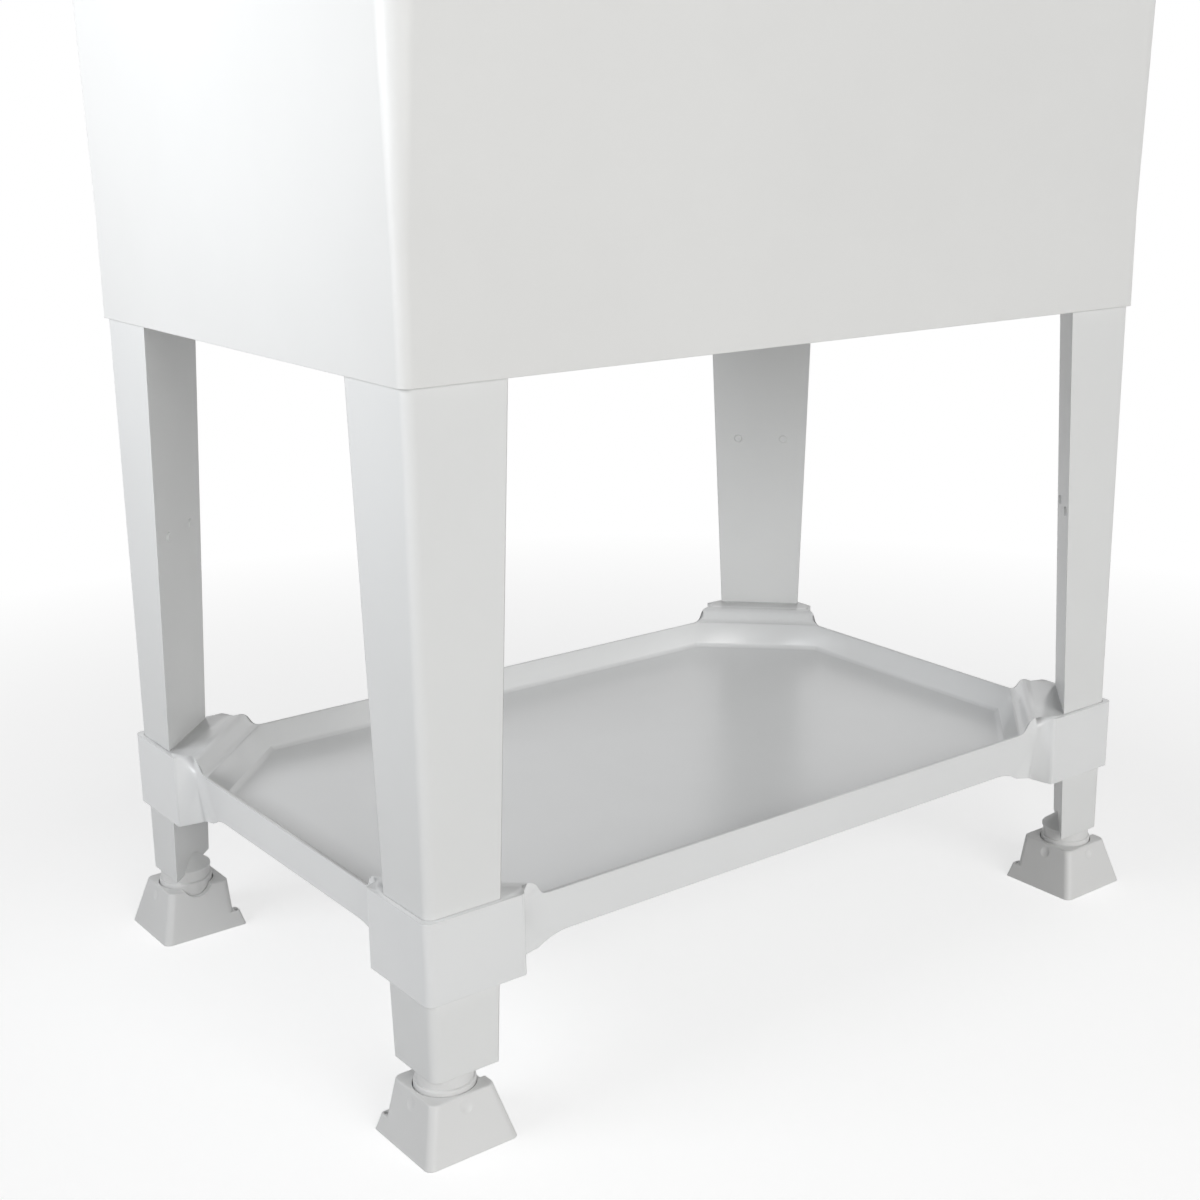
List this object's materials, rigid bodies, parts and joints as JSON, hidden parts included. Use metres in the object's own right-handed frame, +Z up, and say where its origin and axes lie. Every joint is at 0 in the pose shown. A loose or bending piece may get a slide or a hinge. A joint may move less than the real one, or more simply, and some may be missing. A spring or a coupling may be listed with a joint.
{
  "type": "utility laundry sink",
  "caption": "Free-standing utility laundry sink: deep white moulded tub with a tap deck, tapered corner legs, a shelf tray between them and levelling feet.",
  "frame": {"origin": "on the floor, under the middle of the sink", "axes": "+X along the sink's length to the right as its user stands at it, +Y to the back where the tap deck is, +Z up"},
  "size_m": [0.7224, 0.519, 0.864],
  "materials": {
    "tub_plastic": "smooth satin white moulded plastic",
    "tray_plastic": "smooth white moulded plastic, a little glossier on the tray's floor",
    "leg_plastic": "smooth satin white moulded plastic",
    "foot_plastic": "smooth white moulded plastic",
    "fitting_plastic": "plain natural nylon",
    "drain_metal": "satin stainless steel",
    "drain_plastic": "plain white pipe plastic",
    "rubber": "matte black rubber",
    "screw_steel": "zinc-plated steel",
    "stud_steel": "zinc-plated threaded steel"
  },
  "bodies": {
    "sink": {"tub": "tub_plastic", "shelf_tray": "tray_plastic", "drain_body": "drain_metal", "drain_gasket": "rubber", "friction_ring": "drain_plastic", "drain_locknut": "drain_plastic", "tail_washer": "rubber", "drain_tailpiece": "drain_plastic", "slip_nut": "drain_plastic", "leg_screws": "screw_steel", "shelf_screws": "screw_steel", "leg_front_left": "leg_plastic", "leg_bush_front_left": "fitting_plastic", "leg_front_right": "leg_plastic", "leg_bush_front_right": "fitting_plastic", "leg_back_left": "leg_plastic", "leg_bush_back_left": "fitting_plastic", "leg_back_right": "leg_plastic", "leg_bush_back_right": "fitting_plastic"},
    "stopper": {"drain_stopper": "rubber"},
    "pad_front_left": {"foot_pad_front_left": "foot_plastic"},
    "leveller_front_left": {"levelling_collar_front_left": "foot_plastic", "levelling_stud_front_left": "stud_steel"},
    "pad_front_right": {"foot_pad_front_right": "foot_plastic"},
    "leveller_front_right": {"levelling_collar_front_right": "foot_plastic", "levelling_stud_front_right": "stud_steel"},
    "pad_back_left": {"foot_pad_back_left": "foot_plastic"},
    "leveller_back_left": {"levelling_collar_back_left": "foot_plastic", "levelling_stud_back_left": "stud_steel"},
    "pad_back_right": {"foot_pad_back_right": "foot_plastic"},
    "leveller_back_right": {"levelling_collar_back_right": "foot_plastic", "levelling_stud_back_right": "stud_steel"}
  },
  "joints": [
    {"name": "stopper_lift", "type": "slide", "parent": "sink", "child": "stopper", "axis": [0, 0, 1], "range_m": [0, 0.3]},
    {"name": "foot_drop_front_left", "type": "slide", "parent": "sink", "child": "pad_front_left", "axis": [0, 0, -1], "range_m": [0, 0.018]},
    {"name": "leveller_turn_front_left", "type": "hinge", "parent": "pad_front_left", "child": "leveller_front_left", "pos_m": [-0.311, -0.2005, 0.04], "axis": [0, 0, -1], "range_deg": [0, 5184]},
    {"name": "foot_drop_front_right", "type": "slide", "parent": "sink", "child": "pad_front_right", "axis": [0, 0, -1], "range_m": [0, 0.018]},
    {"name": "leveller_turn_front_right", "type": "hinge", "parent": "pad_front_right", "child": "leveller_front_right", "pos_m": [0.311, -0.2005, 0.04], "axis": [0, 0, -1], "range_deg": [0, 5184]},
    {"name": "foot_drop_back_left", "type": "slide", "parent": "sink", "child": "pad_back_left", "axis": [0, 0, -1], "range_m": [0, 0.018]},
    {"name": "leveller_turn_back_left", "type": "hinge", "parent": "pad_back_left", "child": "leveller_back_left", "pos_m": [-0.311, 0.2005, 0.04], "axis": [0, 0, -1], "range_deg": [0, 5184]},
    {"name": "foot_drop_back_right", "type": "slide", "parent": "sink", "child": "pad_back_right", "axis": [0, 0, -1], "range_m": [0, 0.018]},
    {"name": "leveller_turn_back_right", "type": "hinge", "parent": "pad_back_right", "child": "leveller_back_right", "pos_m": [0.311, 0.2005, 0.04], "axis": [0, 0, -1], "range_deg": [0, 5184]}
  ],
  "couplings": [
    {"joint": "foot_drop_front_left", "follows": "leveller_turn_front_left", "m_per_rad": 0.00019894},
    {"joint": "foot_drop_front_right", "follows": "leveller_turn_front_right", "m_per_rad": 0.00019894},
    {"joint": "foot_drop_back_left", "follows": "leveller_turn_back_left", "m_per_rad": 0.00019894},
    {"joint": "foot_drop_back_right", "follows": "leveller_turn_back_right", "m_per_rad": 0.00019894}
  ]
}
